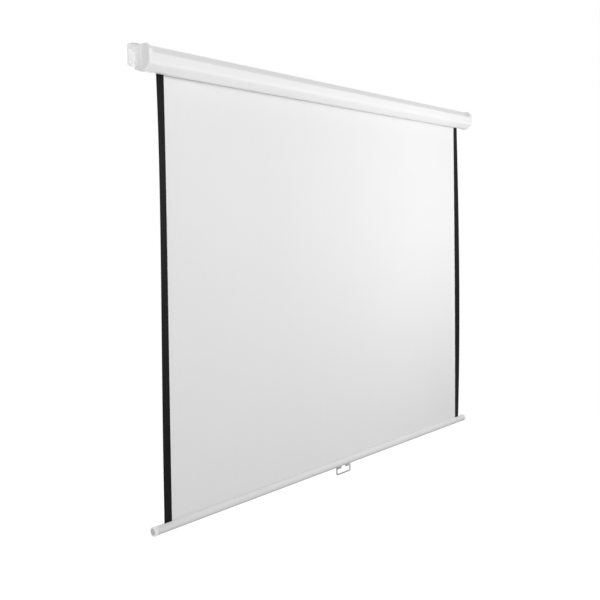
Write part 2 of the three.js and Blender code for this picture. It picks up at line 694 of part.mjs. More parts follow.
// A thin sheet over columns of z, hanging from a height to the hem, with its back at a depth.
function hanging(columns, top, back, thick) {
  const heights = spaced(top, HEM_HEIGHT, SHEET_ROWS);
  const across = columns.length;
  const positions = [back, back + thick].flatMap((depth) =>
    heights.flatMap((height) =>
      columns.flatMap((along) => [depth + curl(along, height), height, along]),
    ),
  );
  const layer = heights.length * across;
  const at = (row, column, side) => side * layer + row * across + column;
  const faces = [];
  const quad = (a, b, c, d) => faces.push(a, c, b, a, d, c);
  for (let row = 0; row < SHEET_ROWS; row += 1) {
    for (let column = 0; column < across - 1; column += 1) {
      quad(at(row, column, 1), at(row + 1, column, 1), at(row + 1, column + 1, 1), at(row, column + 1, 1));
      quad(at(row, column, 0), at(row, column + 1, 0), at(row + 1, column + 1, 0), at(row + 1, column, 0));
    }
    quad(at(row, 0, 0), at(row + 1, 0, 0), at(row + 1, 0, 1), at(row, 0, 1));
    const last = across - 1;
    quad(at(row, last, 0), at(row, last, 1), at(row + 1, last, 1), at(row + 1, last, 0));
  }
  for (let column = 0; column < across - 1; column += 1) {
    quad(at(0, column, 0), at(0, column, 1), at(0, column + 1, 1), at(0, column + 1, 0));
    const low = SHEET_ROWS;
    quad(at(low, column, 0), at(low, column + 1, 0), at(low, column + 1, 1), at(low, column, 1));
  }
  const geometry = new THREE.BufferGeometry();
  geometry.setAttribute("position", new THREE.Float32BufferAttribute(positions, 3));
  geometry.setIndex(faces);
  geometry.computeVertexNormals();
  return geometry;
}

// The sheet from the roller to the bar, and the black borders on its front, from where they
// clear the layers that are still wound up.
function makeSheet() {
  const half = SHEET_WIDTH / 2;
  const inner = half - CURL_REACH;
  const columns = [...spaced(-half, -inner, CURL_COLUMNS), ...spaced(inner, half, CURL_COLUMNS)];
  const back = SHEET_DEPTH - SHEET_THICK / 2;
  const film = back + SHEET_THICK + GAP;
  const chord = LAYERS_RADIUS - BORDER_THICK - GAP;
  const top = ROLLER_HEIGHT - Math.sqrt(LAYERS_RADIUS ** 2 - chord ** 2);
  const border = (name, from, to) =>
    piece(name, hanging(spaced(from, to, BORDER_COLUMNS), top, film, BORDER_THICK), MATTE_BLACK);
  return group(
    piece("projection_sheet", hanging(columns, ROLLER_HEIGHT, back, SHEET_THICK), MATTE_WHITE),
    border("border_left", half - BORDER_WIDTH, half),
    border("border_right", -half, BORDER_WIDTH - half),
  );
}

// The bar: a tube with a groove along its top that holds the sheet's hem.
function makeBar() {
  const top = Math.PI / 2;
  const open = Math.asin(GROOVE_WIDTH / 2 / BAR_RADIUS);
  const path = arc(0, 0, BAR_RADIUS, top + open, top + Math.PI * 2 - open, LARGE_SIDES);
  const shell = extruded(walled(path, BAR_WALL), -BAR_HALF, BAR_HALF);
  const place = HANDLE_WIDTH / 2 - WIRE_RADIUS - GAP - LUG_LENGTH + LUG_SCREW_INSET;
  const holes = [place, -place].map((along) =>
    rod(LUG_SCREW_RADIUS + GAP, 0, BAR_RADIUS + OVERRUN, SMALL_SIDES)
      .rotateX(Math.PI / 2)
      .translate(0, 0, along),
  );
  return piece("weight_bar", cut(shell, ...holes), WHITE_PAINT);
}

// A knob on the bar's end, with a spigot inside the tube.
function knobGeometry() {
  const face = BAR_HALF + GAP;
  const end = face + KNOB_LENGTH;
  const spigot = BAR_RADIUS - BAR_WALL - GAP;
  const edge = arc(KNOB_RADIUS - KNOB_EDGE, end - KNOB_EDGE, KNOB_EDGE, 0, Math.PI / 2, CORNER_STEPS);
  return turned(
    [
      [0, face - KNOB_SPIGOT],
      [spigot, face - KNOB_SPIGOT],
      [spigot, face],
      [KNOB_RADIUS, face],
      ...edge.map(({ x, y }) => [x, y]),
      [0, end],
    ],
    LARGE_SIDES,
  );
}

// The rod inside the sheet's hem, just under the groove.
function makeHemRod() {
  const half = BAR_HALF - KNOB_SPIGOT - GAP;
  const hem = piece("hem_rod", rod(HEM_ROD_RADIUS, -half, half, SMALL_SIDES), STEEL);
  hem.position.y = HEM_ROD_HEIGHT;
  return hem;
}

// A lug under the bar that holds one turned-in end of the handle.
function makeLug(name) {
  const outer = HANDLE_WIDTH / 2 - WIRE_RADIUS - GAP;
  const inner = outer - LUG_LENGTH;
  const radius = WIRE_RADIUS + GAP + LUG_WALL;
  const outline = [
    ...arc(0, 0, radius, Math.PI, Math.PI * 2, SMALL_SIDES / 2),
    new THREE.Vector2(radius, LUG_RISE),
    new THREE.Vector2(-radius, LUG_RISE),
  ];
  const blank = extruded(outline, inner, outer);
  const bar = rod(BAR_RADIUS + GAP, inner - OVERRUN, outer + OVERRUN, LARGE_SIDES);
  bar.translate(0, PIVOT_DROP, 0);
  const hole = rod(WIRE_RADIUS + GAP, outer - WIRE_END, outer + OVERRUN, SMALL_SIDES);
  const along = inner + LUG_SCREW_INSET;
  const shank = rod(LUG_SCREW_RADIUS + GAP, -BAR_RADIUS, OVERRUN, SMALL_SIDES);
  shank.rotateX(Math.PI / 2).translate(0, 0, along);
  const sink = rod(LUG_SCREW_HEAD_RADIUS + GAP, WIRE_RADIUS, radius + OVERRUN, SMALL_SIDES);
  sink.rotateX(Math.PI / 2).translate(0, 0, along);
  return piece(name, cut(blank, bar, hole, shank, sink), GREY_PLASTIC);
}

// A lug and the screw that holds it, at the left of the handle.
function makeLugSet(side) {
  const along = HANDLE_WIDTH / 2 - WIRE_RADIUS - GAP - LUG_LENGTH + LUG_SCREW_INSET;
  const length = LUG_DROP + WIRE_RADIUS + BAR_WALL + LUG_SCREW_REACH;
  const screw = makeScrew(`lug_screw_${side}`, LUG_SCREW_RADIUS, length, LUG_SCREW_HEAD_RADIUS,
    LUG_SCREW_HEAD_THICK, STEEL);
  screw.rotation.x = Math.PI / 2;
  screw.position.set(0, -WIRE_RADIUS - GAP, along);
  return group(makeLug(`handle_lug_${side}`), screw);
}

// The handle's wire: in from one lug, down, across and up to the other.
function makeHandle() {
  const side = HANDLE_WIDTH / 2;
  const end = side - WIRE_RADIUS - WIRE_END + GAP;
  const corners = [
    [end, 0],
    [side, 0, WIRE_RADIUS + GAP],
    [side, -HANDLE_LENGTH, WIRE_BEND],
    [-side, -HANDLE_LENGTH, WIRE_BEND],
    [-side, 0, WIRE_RADIUS + GAP],
    [-end, 0],
  ];
  const route = rounded(corners, false).map(({ x, y }) => new THREE.Vector3(0, y, x));
  const curve = new THREE.CatmullRomCurve3(route, false, "centripetal");
  return piece("pull_handle", wire(curve, WIRE_RADIUS, WIRE_SIDES, WIRE_STEPS), STEEL);
}

// The bar with all that hangs on it.
function makeBarSet() {
  const knobLeft = piece("bar_knob_left", knobGeometry(), WHITE_PLASTIC);
  const knobRight = group(piece("bar_knob_right", knobGeometry(), WHITE_PLASTIC));
  knobRight.scale.z = -1;
  const lugRight = makeLugSet("right");
  lugRight.scale.z = -1;
  const pull = group(makeHandle(), makeLugSet("left"), lugRight);
  pull.position.y = -PIVOT_DROP;
  const bar = group(makeBar(), makeHemRod(), knobLeft, knobRight, pull);
  bar.position.set(SHEET_DEPTH, BAR_HEIGHT, 0);
  return bar;
}

const rightEnd = makeEnd("right", roundSocket());
rightEnd.scale.z = -1;
const section = group(
  makeCase(),
  makeEnd("left", flatSocket()),
  rightEnd,
  makeRoller(),
  makeSheet(),
  makeBarSet(),
);
section.position.y = -BACK_MIDDLE;

const screen = group(section);
screen.quaternion.setFromRotationMatrix(basis([0, -1, 0], [0, 0, 1], [-1, 0, 0]));

export default screen;
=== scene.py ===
"""The looks of the pull-down projector screen: fine meshes, materials, light and camera.

Everything is in metres, in the part's own frame: +Z up, +X to the viewer's right, the sheet
faces -Y, and the wall is the plane Y = 0.
"""

import json
import math

import bmesh
import bpy
import numpy as np
from mathutils import Matrix, Vector

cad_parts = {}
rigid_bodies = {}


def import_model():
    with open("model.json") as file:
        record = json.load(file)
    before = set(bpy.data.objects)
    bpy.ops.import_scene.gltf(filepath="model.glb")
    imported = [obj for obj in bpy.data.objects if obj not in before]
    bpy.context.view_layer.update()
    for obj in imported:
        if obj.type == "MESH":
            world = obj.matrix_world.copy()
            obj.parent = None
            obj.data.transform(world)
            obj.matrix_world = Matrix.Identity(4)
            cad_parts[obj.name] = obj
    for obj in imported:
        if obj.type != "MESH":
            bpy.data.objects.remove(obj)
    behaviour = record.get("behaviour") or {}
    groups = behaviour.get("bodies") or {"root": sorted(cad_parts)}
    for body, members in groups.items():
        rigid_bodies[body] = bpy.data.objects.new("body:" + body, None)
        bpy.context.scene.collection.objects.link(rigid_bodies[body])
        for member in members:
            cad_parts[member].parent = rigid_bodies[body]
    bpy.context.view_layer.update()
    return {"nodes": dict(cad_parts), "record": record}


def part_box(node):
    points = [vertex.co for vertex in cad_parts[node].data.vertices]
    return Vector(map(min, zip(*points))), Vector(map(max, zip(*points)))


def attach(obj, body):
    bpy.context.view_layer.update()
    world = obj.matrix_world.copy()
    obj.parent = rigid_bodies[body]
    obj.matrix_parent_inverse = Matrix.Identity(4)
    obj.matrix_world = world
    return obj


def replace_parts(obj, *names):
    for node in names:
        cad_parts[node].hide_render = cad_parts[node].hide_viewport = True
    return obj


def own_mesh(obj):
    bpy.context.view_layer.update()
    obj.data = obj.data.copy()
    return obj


for leftover in list(bpy.data.objects):
    bpy.data.objects.remove(leftover)

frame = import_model()
NODES = frame["nodes"]
MM = 0.001

# Camera
CAMERA_PLACE = Vector((-2.1505, -1.7086, -0.47155))
CAMERA_YAW = math.radians(48.845)  # to the right of +Y
CAMERA_PITCH = math.radians(-2.126)
CAMERA_ROLL = math.radians(-0.745)
CAMERA_LENS = 46.974  # millimetres, as is the sensor
CAMERA_SENSOR = 36
CAMERA_SHIFT = -0.0637
CAMERA_NEAR = 0.05
CAMERA_FAR = 200

# Sheet
SHEET_THICK = 0.4 * MM
BORDER_WIDTH = 27 * MM
BORDER_THICK = 0.12 * MM
BORDER_GAP = 0.06 * MM
LEFT_CURL = 7.4 * MM  # how far the sheet's free edges curl forward
RIGHT_CURL = 9.5 * MM
CURL_REACH = 70 * MM
LEFT_CURL_SHARE = 0.29  # share of the drop where the curl is deepest
RIGHT_CURL_SHARE = 0.55
CURL_POWER = 2.8
RIPPLE_HEIGHT = 0.35 * MM  # soft waves that a hanging sheet always has
RIPPLES = ((0.47, 2), (0.29, -3))  # length of a wave, and its drift over the drop in radians
FINE_STEP = 3 * MM  # mesh step across the curled edges
COARSE_STEP = 20 * MM
ROW_STEP = 10 * MM
ROLL_TURNS = 2
ROLL_STEPS = 72  # per turn
ROLL_LAYER_GAP = 0.01 * MM

# Hard pieces
WELD = 0.002 * MM  # points nearer than this are one point
FLAT_ANGLE = math.radians(0.6)  # faces that turn by less than this are one face
SHARP_ANGLE = math.radians(32)  # an edge that turns by more than this is hard
UPRIGHT = 0.99  # how square to X the normal of an end face is
EDGE_SEGMENTS = 3
SHEET_METAL_EDGE = 0.3 * MM  # widths of the rounds that break the hard edges
MOULDED_EDGE = 0.25 * MM
CAP_EDGE = 1.1 * MM
SCREW_EDGE = 0.12 * MM
KNOB_RIM = 1.6 * MM
KNOB_DISH = 0.9 * MM

# Wire pieces
WIRE_RADIUS = 2.5 * MM
WIRE_BEND = 5 * MM
EYE_BEND = 2.8 * MM  # where the wire turns into the lugs
WIRE_END = 11 * MM
WIRE_SIDES = 24
BEND_STEPS = 10
SPRING_RADIUS = 7.6 * MM
SPRING_WIRE_RADIUS = 1 * MM
SPRING_TURNS = 24
SPRING_STEPS = 24  # per turn
SPRING_SIDES = 12

# Finishes
PAINT_IOR = 1.5
NYLON_IOR = 1.5
PLASTIC_IOR = 1.47
VINYL_IOR = 1.45
SPECK_LEVEL = 0.74  # noise above this is a speck
SPECK_STRENGTH = 0.12
SPECK_TONE = 0.62
UNDERSIDE_LEVEL = 0.6  # how far down a face looks where its painted shade is full
WEAVE_PITCH = 0.7 * MM
WEAVE_DEPTH = 0.02 * MM
COATED_WEAVE_DEPTH = 0.008 * MM
STREAK_SHARE = 0.35  # of the fabric's unevenness

# Room
FLOOR_HEIGHT = -2.2
FLOOR_SIZE = 60
FLOOR_PALENESS = 0.65
FLOOR_GLOW = 0.77  # what the camera sees on top of the lamps' light
FLOOR_ROUGHNESS = 0.9
AMBIENT = 0.37  # how strongly the world lights the object
LAMP_AIM = Vector((0, 0, -0.4))
LAMPS = {
    "left": {"place": (-1.2, -1.6, 0.2), "width": 1.4, "power": 13},
    "right": {"place": (0.8, -1.25, -0.3), "width": 0.9, "power": 10.9},
    "low": {"place": (-3.2, -0.7, -2.0), "width": 1.4, "power": 42},
    "behind": {"place": (0.6, 2.4, 0.3), "width": 1.5, "power": 40},
}

# The Mix node's sockets that hold colours
MIX_FIRST = 6
MIX_SECOND = 7
MIX_RESULT = 2


# Materials


def grey(value, warmth=0.0):
    return (value + warmth, value, value - warmth)


class Look:
    """A procedural material, built up from its shader by short steps.

    It is made with the shader's sockets that are the same all over, with _ for each space.
    Sizes and depths are in metres, and noise, threads and the like run from 0 to 1.
    """

    def __init__(self, name, **sockets):
        self.material = bpy.data.materials.new(name)
        self.material.use_nodes = True
        self.tree = self.material.node_tree
        self.tree.nodes.clear()
        self.shader = self.node("ShaderNodeBsdfPrincipled")
        for socket, value in sockets.items():
            self.shader.inputs[socket.replace("_", " ")].default_value = value
        output = self.node("ShaderNodeOutputMaterial")
        self.link(self.shader.outputs[0], output.inputs["Surface"])
        self.place = self.node("ShaderNodeTexCoord").outputs["Object"]
        self.relief = None

    def node(self, kind, **settings):
        made = self.tree.nodes.new(kind)
        for key, value in settings.items():
            setattr(made, key, value)
        return made

    def link(self, start, end):
        self.tree.links.new(start, end)

    def stretched(self, factors):
        """The place on the surface, scaled along X, Y and Z."""
        mapping = self.node("ShaderNodeMapping")
        mapping.inputs["Scale"].default_value = factors
        self.link(self.place, mapping.inputs["Vector"])
        return mapping.outputs[0]

    def noise(self, size, detail=2.0, stretch=(1, 1, 1)):
        """Noise whose blotches are about this size. A small stretch factor makes them long."""
        made = self.node("ShaderNodeTexNoise")
        made.inputs["Scale"].default_value = 1 / size
        made.inputs["Detail"].default_value = detail
        self.link(self.stretched(stretch), made.inputs["Vector"])
        return made.outputs["Fac"]

    def calculate(self, operation, *values, clamp=False):
        made = self.node("ShaderNodeMath", operation=operation, use_clamp=clamp)
        for socket, value in zip(made.inputs, values):
            if isinstance(value, (int, float)):
                socket.default_value = value
            else:
                self.link(value, socket)
        return made.outputs[0]

    def threads(self, axis):
        """Parallel round threads across an axis."""
        split = self.node("ShaderNodeSeparateXYZ")
        self.link(self.place, split.inputs[0])
        phase = self.calculate("MULTIPLY", split.outputs[axis], math.tau / WEAVE_PITCH)
        return self.calculate("MULTIPLY_ADD", self.calculate("SINE", phase), 0.5, 0.5)

    def weave(self):
        """The height of a plain weave."""
        return self.calculate("MAXIMUM", self.threads("X"), self.threads("Z"))

    def underside(self):
        """0 on faces that look up or level, rising to 1 on those that look down."""
        split = self.node("ShaderNodeSeparateXYZ")
        self.link(self.node("ShaderNodeTexCoord").outputs["Normal"], split.inputs[0])
        return self.calculate("MULTIPLY", split.outputs["Z"], -1 / UNDERSIDE_LEVEL, clamp=True)

    def ranged(self, value, low, high):
        """A value from 0 to 1 moved to run from low to high."""
        return self.calculate("MULTIPLY_ADD", value, high - low, low)

    def blend(self, amount, first, second):
        """A colour between two, each a colour or an output."""
        mix = self.node("ShaderNodeMix", data_type="RGBA", clamp_factor=True)
        self.link(amount, mix.inputs["Factor"])
        for socket, value in ((mix.inputs[MIX_FIRST], first), (mix.inputs[MIX_SECOND], second)):
            if isinstance(value, tuple):
                socket.default_value = (*value, 1)
            else:
                self.link(value, socket)
        return mix.outputs[MIX_RESULT]

    def coloured(self, value):
        self.link(value, self.shader.inputs["Base Color"])

    def toned(self, amount, dark, pale, warmth=0.0):
        """Coloured in greys from dark to pale, the dark one this much warmer."""
        self.coloured(self.blend(amount, grey(dark, warmth), grey(pale)))

    def roughened(self, amount, low, high):
        self.link(self.ranged(amount, low, high), self.shader.inputs["Roughness"])

    def raised(self, height, depth):
        """A bump of this depth, laid over those before it."""
        made = self.node("ShaderNodeBump")
        made.inputs["Strength"].default_value = 1
        made.inputs["Distance"].default_value = depth
        self.link(height, made.inputs["Height"])
        if self.relief:
            self.link(self.relief, made.inputs["Normal"])
        self.relief = made.outputs[0]
        self.link(self.relief, self.shader.inputs["Normal"])


def powder_coat(name, dark, pale, gloss, underside_shade_tone=None):
    """White powder coat: faint orange peel, dust-fine specks, a little uneven.

    Where it is given a tone for painted shade, its faces that look down turn to that tone in uneven
    patches.
    """
    look = Look(name, IOR=PAINT_IOR, Specular_IOR_Level=gloss)
    tint = look.blend(look.noise(size=0.35, detail=3), grey(dark, warmth=0.003), grey(pale))
    # Painted shade: faces that look down darken towards the given tone, in uneven patches.
    if underside_shade_tone:
        shade_patches = look.ranged(look.noise(size=0.06, detail=3), low=0.6, high=1.4)
        painted_shade = look.calculate("MULTIPLY", look.underside(), shade_patches)
        tint = look.blend(painted_shade, tint, grey(underside_shade_tone))
    speck = look.calculate("GREATER_THAN", look.noise(size=1.1 * MM, detail=1), SPECK_LEVEL)
    dust = look.calculate("MULTIPLY", speck, SPECK_STRENGTH)
    look.coloured(look.blend(dust, tint, grey(SPECK_TONE)))
    look.roughened(look.noise(size=0.05), low=0.36, high=0.48)
    look.raised(look.noise(size=2.2 * MM, detail=1), depth=0.02 * MM)
    look.raised(look.noise(size=0.4 * MM), depth=0.004 * MM)
    return look


def case_paint():
    """The coat of the case, brackets and their screws."""
    return powder_coat("case_paint", dark=0.88, pale=0.915, gloss=0.45)


def bar_paint():
    """The weight bar's coat, a shade duller than the case's, with painted shade on its underside."""
    return powder_coat("bar_paint", dark=0.81, pale=0.85, gloss=0.1, underside_shade_tone=0.66)


def cap_plastic():
    """White moulded plastic: a fine even grain and faint flow marks."""
    look = Look("cap_plastic", IOR=PLASTIC_IOR, Specular_IOR_Level=0.45)
    flow = look.noise(size=0.03, detail=3, stretch=(1, 1, 0.4))
    look.toned(flow, dark=0.885, pale=0.925, warmth=0.002)
    look.roughened(look.noise(size=4 * MM), low=0.42, high=0.56)
    look.raised(look.noise(size=0.5 * MM, detail=3), depth=0.012 * MM)
    return look


def lug_plastic():
    """Grey moulded plastic."""
    look = Look("lug_plastic", IOR=PLASTIC_IOR)
    look.toned(look.noise(size=3 * MM, detail=3), dark=0.46, pale=0.54)
    look.roughened(look.noise(size=1.5 * MM), low=0.4, high=0.55)
    look.raised(look.noise(size=0.4 * MM, detail=3), depth=0.012 * MM)
    return look


def screen_fabric():
    """Matte white vinyl over a fine weave, faintly cloudy and streaked along its length."""
    look = Look("screen_fabric", IOR=VINYL_IOR, Specular_IOR_Level=0.2)
    cloud = look.calculate("MULTIPLY", look.noise(size=0.28, detail=3), 1 - STREAK_SHARE)
    streak = look.noise(size=0.02, stretch=(1, 1, 0.03))
    uneven = look.calculate("MULTIPLY_ADD", streak, STREAK_SHARE, cloud)
    look.toned(uneven, dark=0.865, pale=0.895, warmth=-0.001)
    look.roughened(look.noise(size=0.03), low=0.86, high=0.95)
    look.raised(look.weave(), depth=COATED_WEAVE_DEPTH)
    look.raised(look.noise(size=1.5 * MM), depth=0.012 * MM)
    return look


def sheet_back():
    """Black coating on the back of the sheet, with the weave showing through."""
    look = Look("sheet_back", IOR=VINYL_IOR, Specular_IOR_Level=0.3)
    look.toned(look.noise(size=0.15, detail=3), dark=0.016, pale=0.024)
    look.roughened(look.noise(size=0.02), low=0.68, high=0.8)
    look.raised(look.weave(), depth=WEAVE_DEPTH)
    return look


def border_black():
    """Matte black print: uneven streaks along the edge, and the weave below."""
    look = Look("border_black", IOR=VINYL_IOR, Specular_IOR_Level=0.1)
    look.toned(look.noise(size=6 * MM, detail=3, stretch=(1, 1, 0.02)), dark=0.002, pale=0.01)
    look.roughened(look.noise(size=8 * MM), low=0.5, high=0.66)
    look.raised(look.weave(), depth=WEAVE_DEPTH)
    return look


def steel():
    """Dull zinc plate: faint spangle, with fine marks along the piece."""
    look = Look("steel", Metallic=1.0)
    look.toned(look.noise(size=1.8 * MM, detail=3), dark=0.21, pale=0.29, warmth=-0.002)
    look.roughened(look.noise(size=1.2 * MM, detail=3), low=0.26, high=0.42)
    look.raised(look.noise(size=0.5 * MM, stretch=(0.1, 1, 1)), depth=0.006 * MM)
    return look


def roller_aluminium():
    """Drawn aluminium, with die lines along the tube."""
    look = Look("roller_aluminium", Metallic=1.0)
    line = look.noise(size=0.8 * MM, stretch=(0.01, 1, 1))
    look.toned(line, dark=0.62, pale=0.76)
    look.roughened(line, low=0.3, high=0.44)
    look.raised(line, depth=0.006 * MM)
    return look


def grey_nylon():
    """The nylon of the plugs and the bush: a soft cloudy grey."""
    look = Look("grey_nylon", IOR=NYLON_IOR)
    look.toned(look.noise(size=2 * MM, detail=3), dark=0.3, pale=0.37)
    look.roughened(look.noise(size=1 * MM), low=0.45, high=0.6)
    look.raised(look.noise(size=0.5 * MM), depth=0.01 * MM)
    return look


LOOKS = {
    make.__name__: make().material
    for make in (
        case_paint,
        bar_paint,
        cap_plastic,
        lug_plastic,
        screen_fabric,
        sheet_back,
        border_black,
        steel,
        roller_aluminium,
        grey_nylon,
    )
}


# Pieces

SLOT_OF = {row["node"]: row["material_slot"] for row in frame["record"]["subparts"]}
BODY_OF = {
    node: body
    for body, members in frame["record"]["behaviour"]["bodies"].items()
    for node in members
}


def piece(name, mesh, looks, body):
    """A mesh as a smooth-shaded piece that rides on a body.

    It has a finish for each look.
    """
    for look in looks:
        mesh.materials.append(LOOKS[look])
    mesh.polygons.foreach_set("use_smooth", [True] * len(mesh.polygons))
    mesh.set_sharp_from_angle(angle=SHARP_ANGLE)
    made = bpy.data.objects.new(name, mesh)
    bpy.context.scene.collection.objects.link(made)
    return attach(made, body)


# Sheet

SHEET_LOW, SHEET_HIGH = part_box("projection_sheet")
SHEET_DROP = SHEET_HIGH.z - SHEET_LOW.z
HALF_WIDTH = SHEET_HIGH.x
SHEET_BACK = SHEET_HIGH.y
BORDER_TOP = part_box("border_left")[1].z


def drop_share(z):
    """0 at the top of the sheet and 1 at its bottom."""
    return (SHEET_HIGH.z - z) / SHEET_DROP


def curl(x, z):
    """How far the sheet's free edge curls forward, deepest part of the way down."""
    drop = drop_share(z)
    left = x < 0
    peak = np.where(left, LEFT_CURL_SHARE, RIGHT_CURL_SHARE)
    rise = np.maximum(1, peak / (1 - peak))
    fall = np.maximum(1, (1 - peak) / peak)
    swell = (drop / peak) ** rise * ((1 - drop) / (1 - peak)) ** fall
    inward = np.minimum(1, (HALF_WIDTH - np.abs(x)) / CURL_REACH)
    return np.where(left, LEFT_CURL, RIGHT_CURL) * swell * (1 - inward) ** CURL_POWER


def ripple(x, z):
    """Soft upright waves, none where the sheet is held at its top and bottom."""
    drop = drop_share(z)
    wave = sum(np.sin(math.tau * x / length + drift * drop) for length, drift in RIPPLES)
    return RIPPLE_HEIGHT / len(RIPPLES) * wave * np.sin(math.pi * drop)


def sheet_mesh(name, columns, rows, back, thick):
    """A thin closed sheet over a grid. Its front faces have material 0 and its back material 1."""
    x, z = np.meshgrid(columns, rows)
    forward = curl(x, z) + ripple(x, z)
    layers = [np.stack([x, back - depth - forward, z], -1).reshape(-1, 3) for depth in (0, thick)]
    index = np.arange(x.size).reshape(x.shape)
    corners = (index[:-1, :-1], index[:-1, 1:], index[1:, 1:], index[1:, :-1])
    back_faces = np.stack(corners, -1).reshape(-1, 4)
    front_faces = back_faces[:, ::-1] + x.size
    rim = np.concatenate([index[0], index[1:, -1], index[-1, -2::-1], index[-2:0:-1, 0]])
    after = np.roll(rim, -1)
    sides = np.stack([after, rim, rim + x.size, after + x.size], -1)
    faces = np.concatenate([back_faces, front_faces, sides])
    mesh = bpy.data.meshes.new(name)
    mesh.from_pydata(np.concatenate(layers).tolist(), [], faces.tolist())
    kinds = [1] * len(back_faces) + [0] * (len(front_faces) + len(sides))
    mesh.polygons.foreach_set("material_index", kinds)
    return mesh


def spaced(start, end, step):
    """Even places from start to end, about a step apart."""
    return np.linspace(start, end, round(abs(end - start) / step) + 1)


def hung(made, *nodes):
    """A hanging piece with a mesh of its own, in place of its CAD nodes."""
    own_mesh(made)
    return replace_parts(made, *nodes)


def make_sheet():
    inner = HALF_WIDTH - CURL_REACH
    edge = spaced(inner, HALF_WIDTH, FINE_STEP)
    middle = spaced(-inner, inner, COARSE_STEP)
    columns = np.concatenate([-edge[::-1], middle[1:-1], edge])
    rows = spaced(SHEET_HIGH.z, SHEET_LOW.z, ROW_STEP)
    mesh = sheet_mesh("projection_sheet", columns, rows, SHEET_BACK, SHEET_THICK)
    made = piece("white_sheet", mesh, ["screen_fabric", "sheet_back"], "case")
    return hung(made, "projection_sheet")


def make_borders():
    film = SHEET_BACK - SHEET_THICK - BORDER_GAP
    rows = spaced(BORDER_TOP, SHEET_LOW.z, ROW_STEP)
    made = []
    for side, sign in (("left", -1), ("right", 1)):
        columns = np.sort(sign * spaced(HALF_WIDTH - BORDER_WIDTH, HALF_WIDTH, FINE_STEP))
        mesh = sheet_mesh(f"border_{side}", columns, rows, film, BORDER_THICK)
        strip = piece(f"black_border_{side}", mesh, ["border_black", "border_black"], "case")
        made.append(hung(strip, f"border_{side}"))
    return made


def roll_faces(steps):
    """The faces of a rolled sheet, and their materials: 1 on its inner side and 0 elsewhere.

    Its points run along the roll, inner layer first, at the low end and then at the high end.
    """

    def at(end, layer, step):
        return (end * 2 + layer) * (steps + 1) + step

    faces = []
    kinds = []
    for i in range(steps):
        for layer in (0, 1):
            face = (at(0, layer, i), at(1, layer, i), at(1, layer, i + 1), at(0, layer, i + 1))
            faces.append(face if layer else face[::-1])
            kinds.append(1 - layer)
        for end in (0, 1):
            face = (at(end, 0, i), at(end, 0, i + 1), at(end, 1, i + 1), at(end, 1, i))
            faces.append(face if end else face[::-1])
            kinds.append(0)
    for i in (0, steps):
        face = (at(0, 0, i), at(0, 1, i), at(1, 1, i), at(1, 0, i))
        faces.append(face if i else face[::-1])
        kinds.append(0)
    return faces, kinds


def make_rolled_layers():
    """The turns of sheet that stay on the roller, black side out."""
    low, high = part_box("sheet_on_roller")
    axis = (low + high) / 2
    outer = (high.z - low.z) / 2
    steps = ROLL_TURNS * ROLL_STEPS
    angles = np.linspace(0, math.tau * ROLL_TURNS, steps + 1)
    pitch = SHEET_THICK + ROLL_LAYER_GAP
    middle = outer - SHEET_THICK / 2 - pitch * angles[::-1] / math.tau
    half = (SHEET_THICK - ROLL_LAYER_GAP) / 2
    rings = [
        (axis.y + radius * np.cos(angles), axis.z + radius * np.sin(angles))
        for radius in (middle - half, middle + half)
    ]
    ends = (low.x, high.x)
    points = [(x, y, z) for x in ends for ys, zs in rings for y, z in zip(ys, zs)]
    faces, kinds = roll_faces(steps)
    mesh = bpy.data.meshes.new("rolled_layers")
    mesh.from_pydata(points, [], faces)
    mesh.polygons.foreach_set("material_index", kinds)
    made = piece("rolled_layers", mesh, ["sheet_back", "screen_fabric"], "roller")
    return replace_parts(made, "sheet_on_roller")


# Wire


def swept(name, points, radius, sides, look, body):
    """A round wire along points, as a mesh with flat ends."""
    line = bpy.data.curves.new(name, "CURVE")
    line.dimensions = "3D"
    line.bevel_depth = radius
    line.bevel_resolution = sides // 4 - 1
    line.use_fill_caps = True
    spline = line.splines.new("POLY")
    spline.points.add(len(points) - 1)
    for point, place in zip(spline.points, points):
        point.co = (*place, 1)
    curve = bpy.data.objects.new(name, line)
    bpy.context.scene.collection.objects.link(curve)
    bpy.context.view_layer.update()
    mesh = bpy.data.meshes.new_from_object(curve)
    bpy.data.objects.remove(curve)
    mesh.materials.clear()
    return piece(name, mesh, [look], body)


def bend(before, corner, after, radius):
    """Points round a corner between two straight runs."""
    back = (before - corner).normalized()
    ahead = (after - corner).normalized()
    half = back.angle(ahead) / 2
    centre = corner + (back + ahead).normalized() * radius / math.sin(half)
    start = (corner + back * radius / math.tan(half) - centre).normalized()
    end = (corner + ahead * radius / math.tan(half) - centre).normalized()
    return [centre + radius * start.slerp(end, i / BEND_STEPS) for i in range(BEND_STEPS + 1)]


def make_handle():
    """The wire handle: a wide loop whose ends turn inwards, through the lugs."""
    low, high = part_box("pull_handle")
    y = (low.y + high.y) / 2
    side = high.x - WIRE_RADIUS
    foot = low.z + WIRE_RADIUS
    top = high.z - WIRE_RADIUS
    end = side - WIRE_END - WIRE_RADIUS
    corners = [
        Vector((-end, y, top)),
        Vector((-side, y, top)),
        Vector((-side, y, foot)),
        Vector((side, y, foot)),
        Vector((side, y, top)),
        Vector((end, y, top)),
    ]
    radii = [EYE_BEND, WIRE_BEND, WIRE_BEND, EYE_BEND]
    points = [corners[0]]
    for i, radius in enumerate(radii, start=1):
        points += bend(corners[i - 1], corners[i], corners[i + 1], radius)
    points.append(corners[-1])
    wire = swept("handle_wire", points, WIRE_RADIUS, WIRE_SIDES, "steel", "handle")
    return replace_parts(wire, "pull_handle")


